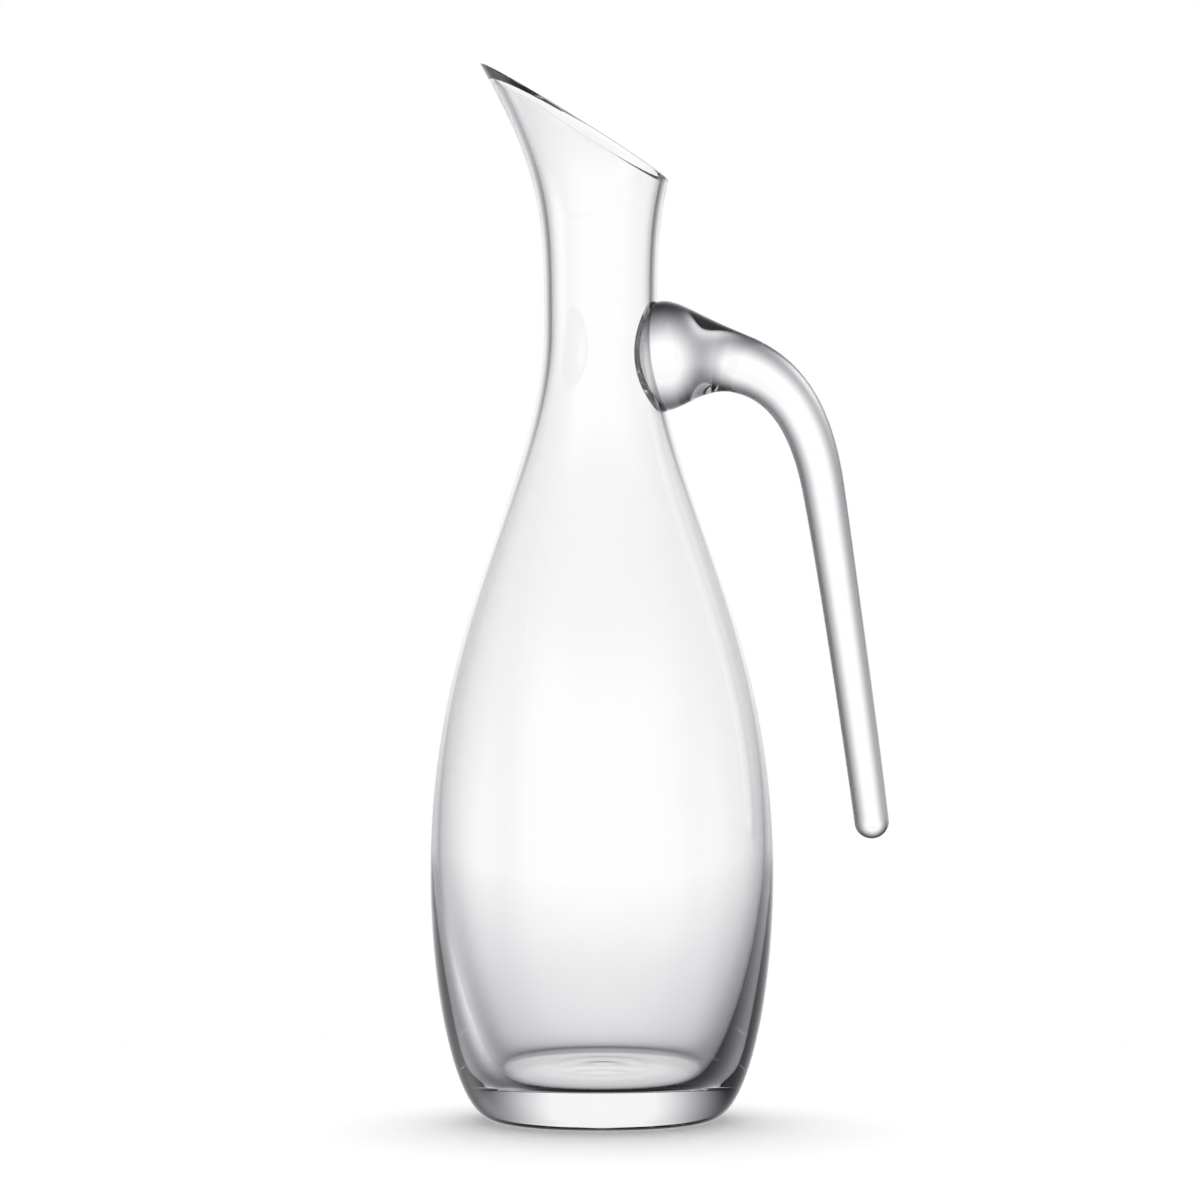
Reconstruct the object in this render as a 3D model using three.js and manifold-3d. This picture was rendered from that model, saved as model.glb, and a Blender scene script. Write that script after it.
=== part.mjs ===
// A wine carafe of clear glass in two pieces: a blown vessel with a heavy base and a slanted pouring lip, and a solid
// handle, fused to the neck by a flared pad and ending in a free tip.
// Millimetres, +Z up. The origin is the centre of the foot, the lip points to -X and the handle to +X.
import * as THREE from "three";
import { mergeVertices } from "three/addons/utils/BufferGeometryUtils.js";
import Module from "manifold-3d";

const wasm = await Module();
wasm.setup();

// Outside of the vessel, from the foot up
const FOOT_RADIUS = 34.5;
const BELLY_RADIUS = 55.5;
const BELLY_HEIGHT = 79;
const NECK_RADIUS = 18.3;
const SHOULDER_RISE = 177; // from the widest section to the narrowest
const LIP_RADIUS = 39.2; // at the tip of the pouring lip
const LIP_RISE = 86; // from the narrowest section to the tip of the lip
const MOUTH_SLANT = THREE.MathUtils.degToRad(32);

// Thickness of the glass, and the flat floor inside
const BASE_THICKNESS = 14;
const BELLY_WALL = 3;
const SHOULDER_WALL = 1.5;
const NECK_WALL = 2.4;
const LIP_WALL = 4;
const FLOOR_RADIUS = 33;

// Handle: its pad, the rod that tapers from the root to the tip, and the line that the rod follows
const HANDLE_DROP = 9; // of the pad's centre below the narrowest section
const PAD_RADIUS = 17.8;
const PAD_STAND_OFF = 2.2; // of the pad's widest section from the neck
const PAD_BACK = 13; // depth of the pad's round back, which the neck is set into
const PAD_FLARE = 24.5; // length of the flare from the pad to the root of the rod
const ROOT_RADIUS = 9.6;
const TIP_RADIUS = 5.6;
const KNUCKLE_REACH = 53.3; // from the neck out to the knuckle, where the rod has turned down
const KNUCKLE_DROP = 41.3;
const KNUCKLE_LEAN = THREE.MathUtils.degToRad(10.3);
const GRIP_SPREAD = 15.8; // from the knuckle out to the centre of the tip
const GRIP_DROP = 109.4;
const TIP_LEAN = THREE.MathUtils.degToRad(7);
const JOINT_GAP = 0.3; // between the pad and the neck

// How long each curve keeps its end's direction, as a share of that curve's own width, rise or span
const HEEL_SPREAD = 0.65;
const HEEL_HOLD = 0.45;
const BELLY_HOLD = 0.484;
const NECK_HOLD = 0.288;
const THROAT_HOLD = 0.41;
const LIP_HOLD = 0.42;
const FLOOR_SPREAD = 0.29;
const FLOOR_HOLD = 0.485;
const PAD_HOLD = 0.25;
const FLARE_HOLD = 0.48;
const FLARE_SLOPE = 0.11; // of the rod's taper where the flare ends
const TAPER_HOLD = 0.19;
const TIP_HOLD = 0.44;
const TIP_SLOPE = 0.01;
const ROOT_HOLD = 0.35;
const BEND_HOLD = 0.62;
const KNUCKLE_HOLD = 0.15;
const GRIP_HOLD = 0.24;

// Facets
const VESSEL_SIDES = 40;
const HANDLE_SIDES = 24;
const CURVE_STEPS = 12;
const TAPER_STEPS = 22;
const ROUND_STEPS = 6;

// Heights that follow from the sizes above
const NECK_HEIGHT = BELLY_HEIGHT + SHOULDER_RISE;
const LIP_HEIGHT = NECK_HEIGHT + LIP_RISE;
const HANDLE_HEIGHT = NECK_HEIGHT - HANDLE_DROP;

// A closed geometry as a solid that can be cut.
function solidOf(geometry) {
  geometry.deleteAttribute("normal");
  geometry.deleteAttribute("uv");
  const merged = mergeVertices(geometry);
  const vertProperties = merged.getAttribute("position").array;
  const triVerts = new Uint32Array(merged.getIndex().array);
  return new wasm.Manifold(new wasm.Mesh({ numProp: 3, vertProperties, triVerts }));
}

function geometryOf(solid) {
  const { vertProperties, triVerts } = solid.getMesh();
  const geometry = new THREE.BufferGeometry();
  geometry.setAttribute("position", new THREE.BufferAttribute(vertProperties, 3));
  geometry.setIndex(new THREE.BufferAttribute(triVerts, 1));
  geometry.computeVertexNormals();
  return geometry;
}

// A curve of a half section, whose points are [distance from the axis, place along the axis].
function sectionCurve(...points) {
  return new THREE.CubicBezierCurve(...points.map(([across, along]) => new THREE.Vector2(across, along)));
}

// Shoulder and throat of the outside, or of the hollow: from the belly in to the neck, and out again to the lip.
function upperCurves(bellyRadius, bellyHeight, neckRadius, lipRadius) {
  const rise = NECK_HEIGHT - bellyHeight;
  const shoulder = sectionCurve(
    [bellyRadius, bellyHeight],
    [bellyRadius, bellyHeight + BELLY_HOLD * rise],
    [neckRadius, NECK_HEIGHT - NECK_HOLD * rise],
    [neckRadius, NECK_HEIGHT],
  );
  const throat = sectionCurve(
    [neckRadius, NECK_HEIGHT],
    [neckRadius, NECK_HEIGHT + THROAT_HOLD * LIP_RISE],
    [neckRadius, LIP_HEIGHT - LIP_HOLD * LIP_RISE],
    [lipRadius, LIP_HEIGHT],
  );
  return [shoulder, throat];
}

// Points of the outside from the foot's edge to the lip, with the radius grown all the way up.
function outsidePoints(grow) {
  const foot = FOOT_RADIUS + grow;
  const belly = BELLY_RADIUS + grow;
  const heel = sectionCurve(
    [foot, 0],
    [foot + HEEL_SPREAD * (belly - foot), 0],
    [belly, BELLY_HEIGHT * (1 - HEEL_HOLD)],
    [belly, BELLY_HEIGHT],
  );
  const upper = upperCurves(belly, BELLY_HEIGHT, NECK_RADIUS + grow, LIP_RADIUS + grow);
  return [heel, ...upper].flatMap((curve) => curve.getPoints(CURVE_STEPS));
}

// Points of the hollow from the lip down to the floor's edge. Its belly sits higher than the outside's by the lift
// that thins the wall to SHOULDER_WALL halfway up the shoulder.
function hollowPoints() {
  const steepness =
    (2 * (BELLY_RADIUS - NECK_RADIUS)) / (SHOULDER_RISE * (2 - BELLY_HOLD - NECK_HOLD));
  const liftShare = (4 - 3 * (BELLY_HOLD - NECK_HOLD)) / 8;
  const lift = ((BELLY_WALL + NECK_WALL) / 2 - SHOULDER_WALL) / (steepness * liftShare);
  const belly = BELLY_RADIUS - BELLY_WALL;
  const bellyHeight = BELLY_HEIGHT + lift;
  const bowl = sectionCurve(
    [FLOOR_RADIUS, BASE_THICKNESS],
    [FLOOR_RADIUS + FLOOR_SPREAD * (belly - FLOOR_RADIUS), BASE_THICKNESS],
    [belly, bellyHeight - FLOOR_HOLD * (bellyHeight - BASE_THICKNESS)],
    [belly, bellyHeight],
  );
  const upper = upperCurves(belly, bellyHeight, NECK_RADIUS - NECK_WALL, LIP_RADIUS - LIP_WALL);
  return [bowl, ...upper].flatMap((curve) => curve.getPoints(CURVE_STEPS)).reverse();
}

// A half section turned about the Z axis.
function turned(points) {
  return solidOf(new THREE.LatheGeometry(points, VESSEL_SIDES).rotateX(Math.PI / 2));
}

// The last point of an outline, carried on in the same direction past the mouth's cut.
function pastTheMouth(points) {
  const [before, end] = points.slice(-2);
  const overrun = LIP_RISE / 10;
  return end.clone().addScaledVector(end.clone().sub(before).normalize(), overrun);
}

// Everything above the slanted plane of the mouth, which passes through the tip of the lip.
function aboveTheMouth() {
  const side = 6 * LIP_RADIUS;
  const block = new THREE.BoxGeometry(side, side, side);
  block.translate(0, 0, side / 2);
  block.rotateY(MOUTH_SLANT);
  block.translate(-LIP_RADIUS, 0, LIP_HEIGHT);
  return solidOf(block);
}

function vesselGeometry() {
  const outside = outsidePoints(0);
  const hollow = hollowPoints();
  const section = [
    new THREE.Vector2(0, 0),
    ...outside,
    pastTheMouth(outside),
    pastTheMouth([...hollow].reverse()),
    ...hollow,
    new THREE.Vector2(0, BASE_THICKNESS),
  ];
  return geometryOf(turned(section).subtract(aboveTheMouth()));
}

// The handle's centre line, in the plane y = 0: it leaves the neck level, turns down to the knuckle and runs on to
// the centre of the tip.
function handleLine() {
  const seat = new THREE.Vector3(NECK_RADIUS, 0, HANDLE_HEIGHT);
  const knuckle = seat.clone().add(new THREE.Vector3(KNUCKLE_REACH, 0, -KNUCKLE_DROP));
  const tip = knuckle.clone().add(new THREE.Vector3(GRIP_SPREAD, 0, -GRIP_DROP));
  const level = new THREE.Vector3(1, 0, 0);
  const downKnuckle = new THREE.Vector3(Math.sin(KNUCKLE_LEAN), 0, -Math.cos(KNUCKLE_LEAN));
  const downTip = new THREE.Vector3(Math.sin(TIP_LEAN), 0, -Math.cos(TIP_LEAN));
  const bend = seat.distanceTo(knuckle);
  const grip = knuckle.distanceTo(tip);
  const line = new THREE.CurvePath();
  line.add(
    new THREE.CubicBezierCurve3(
      seat,
      seat.clone().addScaledVector(level, ROOT_HOLD * bend),
      knuckle.clone().addScaledVector(downKnuckle, -BEND_HOLD * bend),
      knuckle,
    ),
  );
  line.add(
    new THREE.CubicBezierCurve3(
      knuckle,
      knuckle.clone().addScaledVector(downKnuckle, KNUCKLE_HOLD * grip),
      tip.clone().addScaledVector(downTip, -GRIP_HOLD * grip),
      tip,
    ),
  );
  return line;
}

// Half section of the handle as a straight rod of the given length, from the back of its pad to its round tip.
function handleSection(length) {
  const quarter = Math.PI / 2;
  const root = PAD_STAND_OFF + PAD_FLARE;
  const taper = length - root;
  const padBack = new THREE.EllipseCurve(0, PAD_STAND_OFF, PAD_RADIUS, PAD_BACK, -quarter, 0);
  const flare = sectionCurve(
    [PAD_RADIUS, PAD_STAND_OFF],
    [PAD_RADIUS, PAD_STAND_OFF + PAD_HOLD * PAD_FLARE],
    [ROOT_RADIUS + FLARE_SLOPE * FLARE_HOLD * PAD_FLARE, root - FLARE_HOLD * PAD_FLARE],
    [ROOT_RADIUS, root],
  );
  const rod = sectionCurve(
    [ROOT_RADIUS, root],
    [ROOT_RADIUS - FLARE_SLOPE * TAPER_HOLD * taper, root + TAPER_HOLD * taper],
    [TIP_RADIUS + TIP_SLOPE * TIP_HOLD * taper, length - TIP_HOLD * taper],
    [TIP_RADIUS, length],
  );
  const tip = new THREE.EllipseCurve(0, length, TIP_RADIUS, TIP_RADIUS, 0, quarter);
  return [
    ...padBack.getPoints(ROUND_STEPS),
    ...flare.getPoints(CURVE_STEPS),
    ...rod.getPoints(TAPER_STEPS),
    ...tip.getPoints(ROUND_STEPS),
  ];
}

// Bends a geometry that stands along the Y axis, so that its axis follows the line and carries on straight past the
// line's ends.
function bendAlong(geometry, line) {
  const length = line.getLength();
  const sideways = new THREE.Vector3(0, 1, 0);
  const places = geometry.getAttribute("position");
  const vertex = new THREE.Vector3();
  for (let i = 0; i < places.count; i++) {
    vertex.fromBufferAttribute(places, i);
    const onLine = THREE.MathUtils.clamp(vertex.y, 0, length);
    const along = line.getTangentAt(onLine / length);
    const across = new THREE.Vector3().crossVectors(along, sideways);
    const place = line
      .getPointAt(onLine / length)
      .addScaledVector(along, vertex.y - onLine)
      .addScaledVector(across, vertex.x)
      .addScaledVector(sideways, vertex.z);
    places.setXYZ(i, place.x, place.y, place.z);
  }
  return geometry;
}

function handleGeometry() {
  const line = handleLine();
  const straight = new THREE.LatheGeometry(handleSection(line.getLength()), HANDLE_SIDES);
  const outside = outsidePoints(JOINT_GAP);
  const neck = turned([new THREE.Vector2(0, 0), ...outside, new THREE.Vector2(0, LIP_HEIGHT)]);
  return geometryOf(solidOf(bendAlong(straight, line)).subtract(neck));
}

function glass() {
  return new THREE.MeshStandardMaterial({
    color: 0xf3f5f6,
    roughness: 0.03,
    metalness: 0,
    transparent: true,
    opacity: 0.35,
  });
}

function piece(name, geometry) {
  const mesh = new THREE.Mesh(geometry, glass());
  mesh.name = name;
  return mesh;
}

const carafe = new THREE.Group();
carafe.add(piece("vessel", vesselGeometry()));
carafe.add(piece("handle", handleGeometry()));

export default carafe;
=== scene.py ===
"""A wine carafe of clear glass on a white studio floor, seen nearly level, from below its mouth.

Metres, +Z up. The origin is the centre of the foot, the lip points to -X and the handle to +X.
"""
import math

import bpy
import numpy as np
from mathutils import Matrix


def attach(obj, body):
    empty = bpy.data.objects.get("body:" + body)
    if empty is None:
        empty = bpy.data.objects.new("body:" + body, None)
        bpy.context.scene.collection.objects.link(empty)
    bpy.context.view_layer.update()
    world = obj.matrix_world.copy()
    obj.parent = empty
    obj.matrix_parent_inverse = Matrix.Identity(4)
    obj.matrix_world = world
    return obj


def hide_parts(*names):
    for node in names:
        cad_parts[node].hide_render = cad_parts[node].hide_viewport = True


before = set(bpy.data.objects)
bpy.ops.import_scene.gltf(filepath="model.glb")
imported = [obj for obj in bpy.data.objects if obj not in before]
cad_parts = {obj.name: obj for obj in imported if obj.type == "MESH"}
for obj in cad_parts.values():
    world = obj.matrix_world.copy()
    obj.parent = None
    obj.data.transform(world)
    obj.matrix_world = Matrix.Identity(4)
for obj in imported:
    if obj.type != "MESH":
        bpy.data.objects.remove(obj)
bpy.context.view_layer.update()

# Outside of the vessel, from the foot up
FOOT_RADIUS = 0.0345
FOOT_HOLLOW = 0.0002  # depth of the shallow hollow under the foot
BELLY_RADIUS = 0.0555
BELLY_HEIGHT = 0.079
NECK_RADIUS = 0.0183
NECK_HEIGHT = 0.256
LIP_RADIUS = 0.0392
LIP_HEIGHT = 0.342
MOUTH_SLANT = math.radians(32)

# Thickness of the glass, and the floor inside
BASE_THICKNESS = 0.014
BELLY_WALL = 0.003
NECK_WALL = 0.0024
LIP_WALL = 0.004
RIM_ROUND = 0.001
HOLLOW_LIFT = 0.0082  # of the hollow's widest section above the outside's
FLOOR_RADIUS = 0.033
RIPPLE_HEIGHT = 0.00002
RIPPLE_PITCH = 0.0094

# Handle
HANDLE_HEIGHT = 0.247
PAD_RADIUS = 0.0178
PAD_STAND_OFF = 0.0022
PAD_BACK = 0.013
PAD_FLARE = 0.0245
ROOT_RADIUS = 0.0096
TIP_RADIUS = 0.0056
KNUCKLE_REACH = 0.0533
KNUCKLE_DROP = 0.0413
KNUCKLE_LEAN = math.radians(10.3)
GRIP_SPREAD = 0.01575
GRIP_DROP = 0.1094
TIP_LEAN = math.radians(7)
PAD_SINK = 0.0004  # of the pad into the wall of the neck, where the two are fused
PAD_CLEAR = 1.6  # share of the pad's section from which it is clear of the neck all round

# How long each curve keeps its end's direction, as a share of its own width, rise or span
HEEL_SPREAD = 0.65
HEEL_HOLD = 0.45
BELLY_HOLD = 0.484
NECK_HOLD = 0.288
THROAT_HOLD = 0.41
LIP_HOLD = 0.42
FLOOR_SPREAD = 0.29
FLOOR_HOLD = 0.485
PAD_HOLD = 0.25
FLARE_HOLD = 0.48
FLARE_SLOPE = 0.11
TAPER_HOLD = 0.19
TIP_HOLD = 0.44
TIP_SLOPE = 0.01
ROOT_HOLD = 0.35
BEND_HOLD = 0.62
KNUCKLE_HOLD = 0.15
GRIP_HOLD = 0.24

# Facets
VESSEL_SIDES = 160
HANDLE_SIDES = 72
CURVE_STEPS = 48
FOOT_STEPS = 12
PATCH_STEPS = 14
RIM_STEPS = 16
FLOOR_STEPS = 60
TIP_STEPS = 12
LINE_STEPS = 400  # along each half of the handle's centre line
PROFILE_STEPS = 200  # along each curve of the outside, for its radius by height
HALVINGS = 40  # of a range, to find where two surfaces meet
SHARP_EDGE = math.radians(35)

# Glass
GLASS_COLOUR = (0.998, 0.998, 1.0, 1)
GLASS_IOR = 1.5
WAVES_PER_METRE = 45  # of the slight unevenness of its surface
WAVE_HEIGHT = 0.0003
WAVE_STRENGTH = 0.02

# Camera
CAMERA_PITCH = math.radians(1.01)
CAMERA_DISTANCE = 1.751
CAMERA_HEIGHT = 0.199
CAMERA_LENS = 162.4
SENSOR_WIDTH = 36
CAMERA_SHIFT = -0.00035  # to the left of the axis
CAMERA_ROLL = math.radians(0.126)

# Studio: windows as azimuth from +Y towards +X, elevation and spread, in degrees, and how sharply they end
BACKDROP = (0, 7, 30, 2)
BACKDROP_STRENGTH = 1.25  # cut off at white, so that the middle is even
SIDE_WINDOWS = (  # each with its strength last
    (-90, -3, 13, 2, 1),
    (-45, -26, 15, 2, 0.88),
    (135, -15, 12, 2, 1),
)
FRONT = (180, 6, 79, 4)
FRONT_FOOT = (-0.62, -0.38)  # heights of a direction between which the front's light begins
SKY = (0, 77, 30, 2)
SKY_STRENGTH = 4.65  # lights a level surface as much as white all round would
ROOM_GREY = 0.02
DARK_TINT = (0.91, 0.91, 1.0, 1)  # of the room where it is dark; where it is bright it is white
MIRRORED_SIDES = ((-68, 15, 26, 2), (68, 15, 26, 2))  # seen only as reflections in the thin walls
MIRRORED_STRENGTH = 1.1
WHITE = (1, 1, 1, 1)
STAGE_RADIUS = 0.30
STAGE_SIDES = 96
FLOOR_COLOUR = (0.74, 0.74, 0.74, 1)
FLOOR_GLOW = 0.27  # lifts the lit floor to white, and its shadow to a soft grey
FLOOR_GAP = 0.0003  # under the foot, so that the two surfaces don't share a plane
BOUNCES = 40
GLOSSY_BOUNCES = 24


def cubic(points, share):
    """Places on a cubic curve at the given shares of its parameter."""
    a, b, c, d = (np.array(p) for p in points)
    t = np.asarray(share)[..., None]
    return a * (1 - t) ** 3 + 3 * b * t * (1 - t) ** 2 + 3 * c * t**2 * (1 - t) + d * t**3


def upper_curves(belly_radius, belly_height, neck_radius, lip_radius):
    """Shoulder and throat of the outside or of the hollow, as (distance from the axis, height)."""
    rise = NECK_HEIGHT - belly_height
    lip_rise = LIP_HEIGHT - NECK_HEIGHT
    shoulder = (
        (belly_radius, belly_height),
        (belly_radius, belly_height + BELLY_HOLD * rise),
        (neck_radius, NECK_HEIGHT - NECK_HOLD * rise),
        (neck_radius, NECK_HEIGHT),
    )
    throat = (
        (neck_radius, NECK_HEIGHT),
        (neck_radius, NECK_HEIGHT + THROAT_HOLD * lip_rise),
        (neck_radius, LIP_HEIGHT - LIP_HOLD * lip_rise),
        (lip_radius, LIP_HEIGHT),
    )
    return shoulder, throat


def outside_curves():
    heel = (
        (FOOT_RADIUS, 0),
        (FOOT_RADIUS + HEEL_SPREAD * (BELLY_RADIUS - FOOT_RADIUS), 0),
        (BELLY_RADIUS, BELLY_HEIGHT * (1 - HEEL_HOLD)),
        (BELLY_RADIUS, BELLY_HEIGHT),
    )
    return heel, *upper_curves(BELLY_RADIUS, BELLY_HEIGHT, NECK_RADIUS, LIP_RADIUS)


def hollow_curves():
    belly = BELLY_RADIUS - BELLY_WALL
    belly_height = BELLY_HEIGHT + HOLLOW_LIFT
    bowl = (
        (FLOOR_RADIUS, BASE_THICKNESS),
        (FLOOR_RADIUS + FLOOR_SPREAD * (belly - FLOOR_RADIUS), BASE_THICKNESS),
        (belly, belly_height - FLOOR_HOLD * (belly_height - BASE_THICKNESS)),
        (belly, belly_height),
    )
    return bowl, *upper_curves(belly, belly_height, NECK_RADIUS - NECK_WALL, LIP_RADIUS - LIP_WALL)


def mouth_share(throat, azimuth, drop):
    """Share of a throat curve at which the mouth's plane, lowered by drop, cuts it at each azimuth."""
    low = np.zeros_like(azimuth)
    high = np.ones_like(azimuth)
    for _ in range(HALVINGS):
        middle = (low + high) / 2
        radius, height = cubic(throat, middle).T
        plane = LIP_HEIGHT - drop - (LIP_RADIUS + radius * np.cos(azimuth)) * math.tan(MOUTH_SLANT)
        above = height > plane
        high = np.where(above, middle, high)
        low = np.where(above, low, middle)
    return low


def closed_mesh(name, rings, first, last):
    """A closed surface from its first point, through rings that turn right-handed, to its last point."""
    count = len(rings[0])
    points = np.concatenate([[first], *rings, [last]])
    end = len(points) - 1
    faces = []
    for k in range(count):
        after = (k + 1) % count
        faces.append((0, 1 + after, 1 + k))
        faces.append((end, end - count + k, end - count + after))
        for i in range(len(rings) - 1):
            low = 1 + i * count
            high = low + count
            faces.append((low + k, low + after, high + after, high + k))
    mesh = bpy.data.meshes.new(name)
    mesh.from_pydata(points.tolist(), [], faces)
    mesh.shade_smooth()
    mesh.set_sharp_from_angle(angle=SHARP_EDGE)
    piece = bpy.data.objects.new(name, mesh)
    bpy.context.scene.collection.objects.link(piece)
    return piece


def vessel_piece():
    azimuth = np.linspace(0, 2 * math.pi, VESSEL_SIDES, endpoint=False)
    steps = np.linspace(0, 1, CURVE_STEPS + 1)
    rim_drop = RIM_ROUND / 2
    sections = []

    def level(radius, height):
        sections.append(np.tile((radius, height), (VESSEL_SIDES, 1)))

    # The foot, then the outside up to the rim
    for share in np.linspace(0, 1, FOOT_STEPS + 1)[1:-1]:
        level(share * FOOT_RADIUS, FOOT_HOLLOW * (1 - share**2) ** 2)
    heel, shoulder, throat = outside_curves()
    for radius, height in [*cubic(heel, steps), *cubic(shoulder, steps[1:])]:
        level(radius, height)
    mouth = mouth_share(throat, azimuth, rim_drop)
    for share in steps[1:]:
        sections.append(cubic(throat, share * mouth))
    # The rounded rim, then the hollow down to the floor
    bowl, inner_shoulder, inner_throat = hollow_curves()
    inner_mouth = mouth_share(inner_throat, azimuth, rim_drop)
    outer_edge = sections[-1]
    inner_edge = cubic(inner_throat, inner_mouth)
    for turn in np.linspace(0, math.pi, RIM_STEPS + 1)[1:-1]:
        across = math.copysign(math.sqrt(abs(math.cos(turn))), math.cos(turn))
        middle = (outer_edge + inner_edge) / 2 + (outer_edge - inner_edge) / 2 * across
        sections.append(middle + np.array((0, rim_drop * math.sqrt(math.sin(turn)))))
    for share in steps[:0:-1]:
        sections.append(cubic(inner_throat, share * inner_mouth))
    for radius, height in [*cubic(inner_shoulder, steps[:0:-1]), *cubic(bowl, steps[::-1])]:
        level(radius, height)
    for share in np.linspace(1, 0, FLOOR_STEPS + 1)[1:-1]:
        radius = share * FLOOR_RADIUS
        ripple = RIPPLE_HEIGHT * (1 - share**4) * math.cos(2 * math.pi * radius / RIPPLE_PITCH)
        level(radius, BASE_THICKNESS + ripple)

    rings = []
    for section in sections:
        radius, height = section.T
        rings.append(np.stack((radius * np.cos(azimuth), radius * np.sin(azimuth), height), axis=1))
    return closed_mesh("carafe_vessel", rings, (0, 0, FOOT_HOLLOW), (0, 0, BASE_THICKNESS + RIPPLE_HEIGHT))


class HandleLine:
    """The handle's centre line in the plane y = 0, by length from the neck, straight past both ends."""

    def __init__(self):
        seat = np.array((NECK_RADIUS, 0, HANDLE_HEIGHT))
        knuckle = seat + (KNUCKLE_REACH, 0, -KNUCKLE_DROP)
        tip = knuckle + (GRIP_SPREAD, 0, -GRIP_DROP)
        down_knuckle = np.array((math.sin(KNUCKLE_LEAN), 0, -math.cos(KNUCKLE_LEAN)))
        down_tip = np.array((math.sin(TIP_LEAN), 0, -math.cos(TIP_LEAN)))
        bend = np.linalg.norm(knuckle - seat)
        grip = np.linalg.norm(tip - knuckle)
        upper = (
            seat,
            seat + (ROOT_HOLD * bend, 0, 0),
            knuckle - BEND_HOLD * bend * down_knuckle,
            knuckle,
        )
        lower = (
            knuckle,
            knuckle + KNUCKLE_HOLD * grip * down_knuckle,
            tip - GRIP_HOLD * grip * down_tip,
            tip,
        )
        steps = np.linspace(0, 1, LINE_STEPS)
        self.points = np.concatenate((cubic(upper, steps), cubic(lower, steps)[1:]))
        spans = np.linalg.norm(np.diff(self.points, axis=0), axis=1)
        self.lengths = np.concatenate(([0], np.cumsum(spans)))
        self.tangents = np.gradient(self.points, self.lengths, axis=0)
        self.length = self.lengths[-1]

    def around(self, radius, along, turn):
        """Points at the given radius, length along the line and turn about it."""
        on_line = np.clip(along, 0, self.length)
        place = np.stack([np.interp(on_line, self.lengths, self.points[:, i]) for i in range(3)], axis=-1)
        ahead = np.stack([np.interp(on_line, self.lengths, self.tangents[:, i]) for i in range(3)], axis=-1)
        ahead /= np.linalg.norm(ahead, axis=-1, keepdims=True)
        sideways = np.array((0, 1, 0))
        across = np.cross(ahead, sideways)
        beyond = np.asarray(along - on_line)[..., None]
        out = np.cos(turn)[..., None] * sideways + np.sin(turn)[..., None] * across
        return place + beyond * ahead + np.asarray(radius)[..., None] * out


def outside_radius(height):
    """Radius of the vessel's outside at a height above the belly."""
    _, shoulder, throat = outside_curves()
    steps = np.linspace(0, 1, PROFILE_STEPS)
    profile = np.concatenate((cubic(shoulder, steps), cubic(throat, steps)[1:]))
    return np.interp(height, profile[:, 1], profile[:, 0])


def pad_section(share):
    """Half section of the pad as (radius, length along the line): round back up to share 1, then flare."""
    turn = math.pi / 2 * (np.minimum(share, 1) - 1)
    back = np.stack((PAD_RADIUS * np.cos(turn), PAD_STAND_OFF + PAD_BACK * np.sin(turn)), axis=-1)
    root = PAD_STAND_OFF + PAD_FLARE
    flare = cubic(
        (
            (PAD_RADIUS, PAD_STAND_OFF),
            (PAD_RADIUS, PAD_STAND_OFF + PAD_HOLD * PAD_FLARE),
            (ROOT_RADIUS + FLARE_SLOPE * FLARE_HOLD * PAD_FLARE, root - FLARE_HOLD * PAD_FLARE),
            (ROOT_RADIUS, root),
        ),
        np.maximum(share, 1) - 1,
    )
    return np.where((share < 1)[..., None], back, flare)


def handle_piece():
    line = HandleLine()
    turn = np.linspace(0, 2 * math.pi, HANDLE_SIDES, endpoint=False)
    root = PAD_STAND_OFF + PAD_FLARE
    taper = line.length - root

    # Where the pad's surface goes into the neck, at each turn
    low = np.zeros(HANDLE_SIDES)
    high = np.full(HANDLE_SIDES, PAD_CLEAR)
    for _ in range(HALVINGS):
        middle = (low + high) / 2
        x, y, z = line.around(*pad_section(middle).T, turn).T
        clear = np.hypot(x, y) > outside_radius(z) - PAD_SINK
        high = np.where(clear, middle, high)
        low = np.where(clear, low, middle)
    seat = high

    # The face against the neck, which follows the neck's own curve
    edge = line.around(*pad_section(seat).T, turn)
    rings = []
    for share in np.linspace(0, 1, PATCH_STEPS)[1:-1]:
        y = share * edge[:, 1]
        z = HANDLE_HEIGHT + share * (edge[:, 2] - HANDLE_HEIGHT)
        x = np.sqrt((outside_radius(z) - PAD_SINK) ** 2 - y**2)
        rings.append(np.stack((x, y, z), axis=1))
    centre = (outside_radius(HANDLE_HEIGHT) - PAD_SINK, 0, HANDLE_HEIGHT)
    # The pad, the rod and its round tip
    for share in np.linspace(0, 1, CURVE_STEPS + 1):
        rings.append(line.around(*pad_section(seat + share * (2 - seat)).T, turn))
    rod = (
        (ROOT_RADIUS, root),
        (ROOT_RADIUS - FLARE_SLOPE * TAPER_HOLD * taper, root + TAPER_HOLD * taper),
        (TIP_RADIUS + TIP_SLOPE * TIP_HOLD * taper, line.length - TIP_HOLD * taper),
        (TIP_RADIUS, line.length),
    )
    for radius, along in cubic(rod, np.linspace(0, 1, 2 * CURVE_STEPS + 1))[1:]:
        rings.append(line.around(np.full(HANDLE_SIDES, radius), np.full(HANDLE_SIDES, along), turn))
    for lift in np.linspace(0, math.pi / 2, TIP_STEPS + 1)[1:-1]:
        radius = np.full(HANDLE_SIDES, TIP_RADIUS * math.cos(lift))
        along = np.full(HANDLE_SIDES, line.length + TIP_RADIUS * math.sin(lift))
        rings.append(line.around(radius, along, turn))
    end = line.around(np.zeros(1), np.array([line.length + TIP_RADIUS]), np.zeros(1))[0]
    return closed_mesh("carafe_handle", rings, centre, end)


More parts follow.
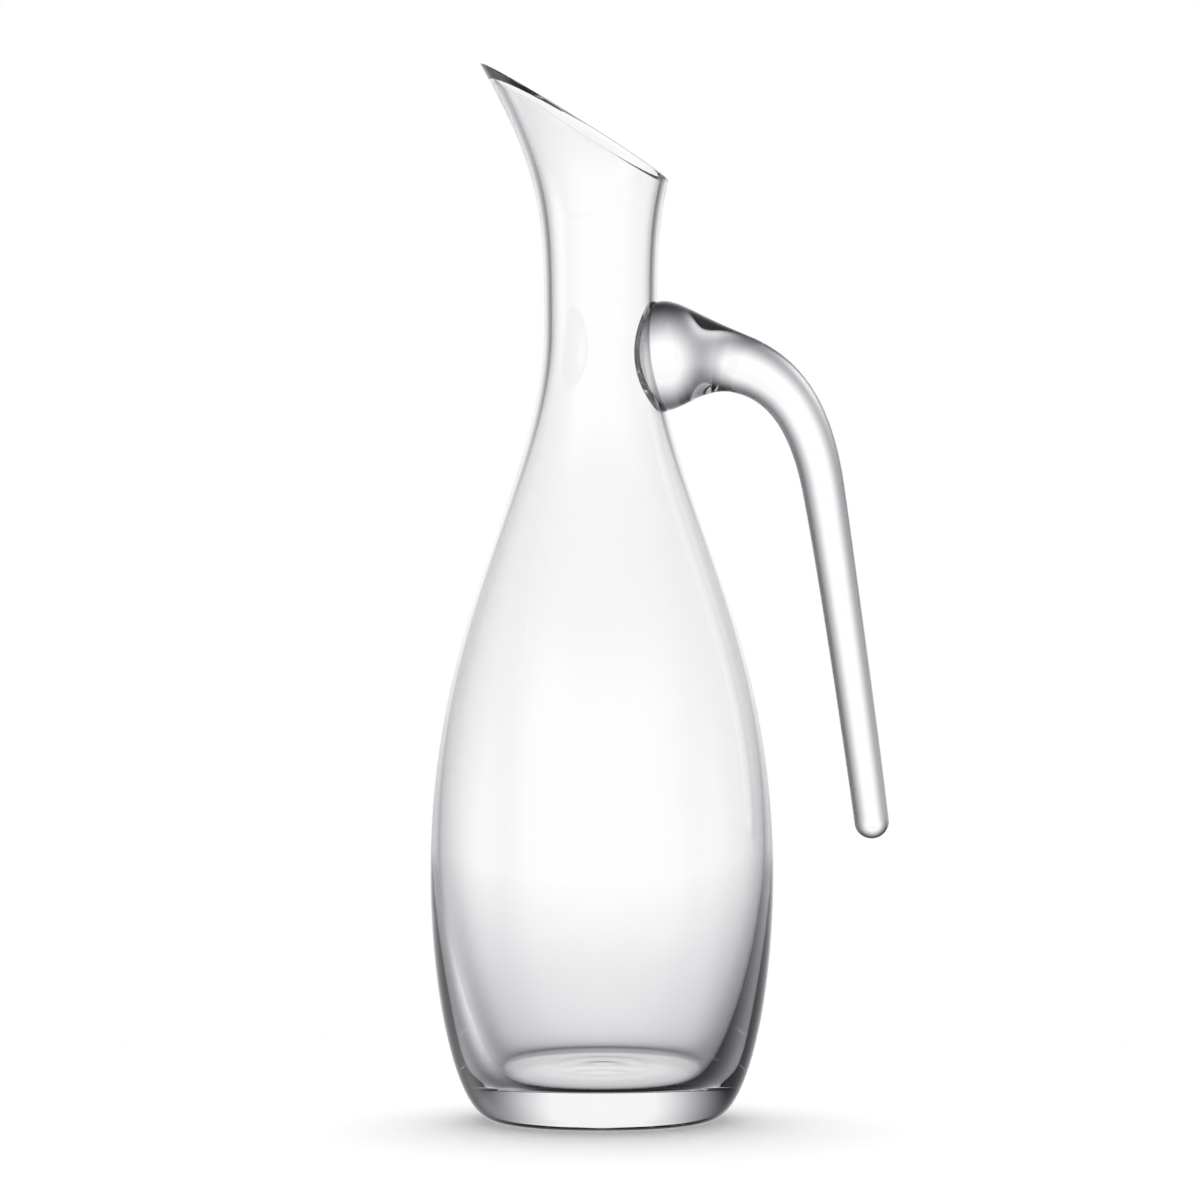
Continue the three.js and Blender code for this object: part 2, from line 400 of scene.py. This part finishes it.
def glass_material(name):
    """Clear glass whose surface is very slightly uneven, as blown and drawn glass is."""
    material = bpy.data.materials.new(name)
    material.use_nodes = True
    nodes = material.node_tree.nodes
    links = material.node_tree.links
    shader = nodes["Principled BSDF"]
    shader.inputs["Base Color"].default_value = GLASS_COLOUR
    shader.inputs["Roughness"].default_value = 0.0
    shader.inputs["IOR"].default_value = GLASS_IOR
    shader.inputs["Transmission Weight"].default_value = 1.0
    place = nodes.new("ShaderNodeTexCoord")
    waves = nodes.new("ShaderNodeTexNoise")
    waves.inputs["Scale"].default_value = WAVES_PER_METRE
    waves.inputs["Detail"].default_value = 1
    bump = nodes.new("ShaderNodeBump")
    bump.inputs["Strength"].default_value = WAVE_STRENGTH
    bump.inputs["Distance"].default_value = WAVE_HEIGHT
    links.new(place.outputs["Object"], waves.inputs["Vector"])
    links.new(waves.outputs["Fac"], bump.inputs["Height"])
    links.new(bump.outputs["Normal"], shader.inputs["Normal"])
    return material


def studio():
    """White all round to the eye, while the glass shows soft round windows in a dark room."""
    world = bpy.data.worlds.new("studio")
    bpy.context.scene.world = world
    world.use_nodes = True
    nodes = world.node_tree.nodes
    links = world.node_tree.links
    backdrop = nodes["Background"]
    direction = nodes.new("ShaderNodeTexCoord").outputs["Generated"]

    def maths(operation, first, second=None):
        node = nodes.new("ShaderNodeMath")
        node.operation = operation
        for socket, value in zip(node.inputs, (first, second)):
            if isinstance(value, (int, float)):
                socket.default_value = value
            elif value is not None:
                links.new(value, socket)
        return node.outputs["Value"]

    def window(azimuth, elevation, spread, sharpness):
        """Brightness of a window that fades with the angle from its centre."""
        level = math.cos(math.radians(elevation))
        product = nodes.new("ShaderNodeVectorMath")
        product.operation = "DOT_PRODUCT"
        product.inputs[1].default_value = (
            level * math.sin(math.radians(azimuth)),
            level * math.cos(math.radians(azimuth)),
            math.sin(math.radians(elevation)),
        )
        links.new(direction, product.inputs[0])
        angle = maths("ARCCOSINE", product.outputs["Value"])
        share = maths("DIVIDE", angle, math.radians(spread))
        return maths("EXPONENT", maths("MULTIPLY", maths("POWER", share, sharpness), -1))

    def choose(share, without, having):
        """One value where the share is 0, the other where it is 1."""
        mix = nodes.new("ShaderNodeMix")
        mix.data_type = "FLOAT"
        for name, value in (("Factor", share), ("A", without), ("B", having)):
            if isinstance(value, (int, float)):
                mix.inputs[name].default_value = value
            else:
                links.new(value, mix.inputs[name])
        return mix.outputs["Result"]

    path = nodes.new("ShaderNodeLightPath").outputs
    parts = nodes.new("ShaderNodeSeparateXYZ")
    links.new(direction, parts.inputs["Vector"])
    foot = nodes.new("ShaderNodeMapRange")
    foot.interpolation_type = "SMOOTHSTEP"
    foot.inputs["From Min"].default_value, foot.inputs["From Max"].default_value = FRONT_FOOT
    links.new(parts.outputs["Z"], foot.inputs["Value"])
    around = maths("MULTIPLY", window(*FRONT), foot.outputs["Result"])
    for *place, strength in SIDE_WINDOWS:
        around = maths("ADD", maths("MULTIPLY", window(*place), strength), around)
    # A view that turns once inside solid glass passes two surfaces, in and out. One that a thin wall
    # mirrors passes none at the front, or more at the back.
    off_two = maths("ABSOLUTE", maths("SUBTRACT", path["Transmission Depth"], 2))
    mirrored = maths("MULTIPLY", maths("MINIMUM", path["Glossy Depth"], 1), MIRRORED_STRENGTH)
    mirrored = maths("MULTIPLY", mirrored, maths("GREATER_THAN", off_two, 0.5))
    for place in MIRRORED_SIDES:
        around = maths("ADD", maths("MULTIPLY", window(*place), mirrored), around)
    # The windows around don't reach a view that has turned more than once
    around = maths("MULTIPLY", around, maths("LESS_THAN", path["Glossy Depth"], 1.5))
    behind = maths("MULTIPLY", window(*BACKDROP), BACKDROP_STRENGTH)
    room = maths("MINIMUM", maths("ADD", maths("ADD", behind, around), ROOM_GREY), 1)
    # The floor is lit by the sky; what the eye sees by way of the glass is the room, and all else is white
    at_glass = maths("MAXIMUM", path["Is Transmission Ray"], path["Is Glossy Ray"])
    by_way_of_glass = maths("MULTIPLY", at_glass, maths("LESS_THAN", path["Diffuse Depth"], 0.5))
    from_floor = maths("MINIMUM", path["Diffuse Depth"], 1)
    sky = maths("MULTIPLY", window(*SKY), SKY_STRENGTH)
    strength = choose(by_way_of_glass, choose(from_floor, 1, sky), room)
    links.new(strength, backdrop.inputs["Strength"])
    tint = nodes.new("ShaderNodeMix")
    tint.data_type = "RGBA"
    tint.inputs["A"].default_value = DARK_TINT
    tint.inputs["B"].default_value = WHITE
    links.new(strength, tint.inputs["Factor"])
    links.new(tint.outputs["Result"], backdrop.inputs["Color"])


def studio_floor():
    """A round white floor that shows to the eye and takes the shadow, but doesn't show in the glass."""
    bpy.ops.mesh.primitive_circle_add(
        vertices=STAGE_SIDES, radius=STAGE_RADIUS, fill_type="NGON", location=(0, 0, -FLOOR_GAP)
    )
    floor = bpy.context.object
    floor.name = "studio_floor"
    material = bpy.data.materials.new("white_floor")
    material.use_nodes = True
    nodes = material.node_tree.nodes
    links = material.node_tree.links
    nodes.clear()
    matt = nodes.new("ShaderNodeBsdfDiffuse")
    matt.inputs["Color"].default_value = FLOOR_COLOUR
    glow = nodes.new("ShaderNodeEmission")
    glow.inputs["Strength"].default_value = FLOOR_GLOW
    both = nodes.new("ShaderNodeAddShader")
    output = nodes.new("ShaderNodeOutputMaterial")
    links.new(matt.outputs["BSDF"], both.inputs[0])
    links.new(glow.outputs["Emission"], both.inputs[1])
    links.new(both.outputs["Shader"], output.inputs["Surface"])
    floor.data.materials.append(material)
    floor.visible_transmission = False
    floor.visible_glossy = False


def camera():
    lens = bpy.data.cameras.new("camera")
    lens.lens = CAMERA_LENS
    lens.sensor_width = SENSOR_WIDTH
    view = bpy.data.objects.new("camera", lens)
    view.location = (CAMERA_SHIFT, -CAMERA_DISTANCE, CAMERA_HEIGHT)
    view.rotation_euler = (math.pi / 2 - CAMERA_PITCH, CAMERA_ROLL, 0)
    bpy.context.scene.collection.objects.link(view)
    bpy.context.scene.camera = view


for build, node in ((vessel_piece, "vessel"), (handle_piece, "handle")):
    piece = build()
    piece.data.materials.append(glass_material(f"clear_glass_{node}"))
    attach(piece, "root")
    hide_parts(node)

studio()
studio_floor()
camera()

scene = bpy.context.scene
scene.view_settings.view_transform = "Standard"
scene.cycles.max_bounces = BOUNCES
scene.cycles.transmission_bounces = BOUNCES
scene.cycles.glossy_bounces = GLOSSY_BOUNCES
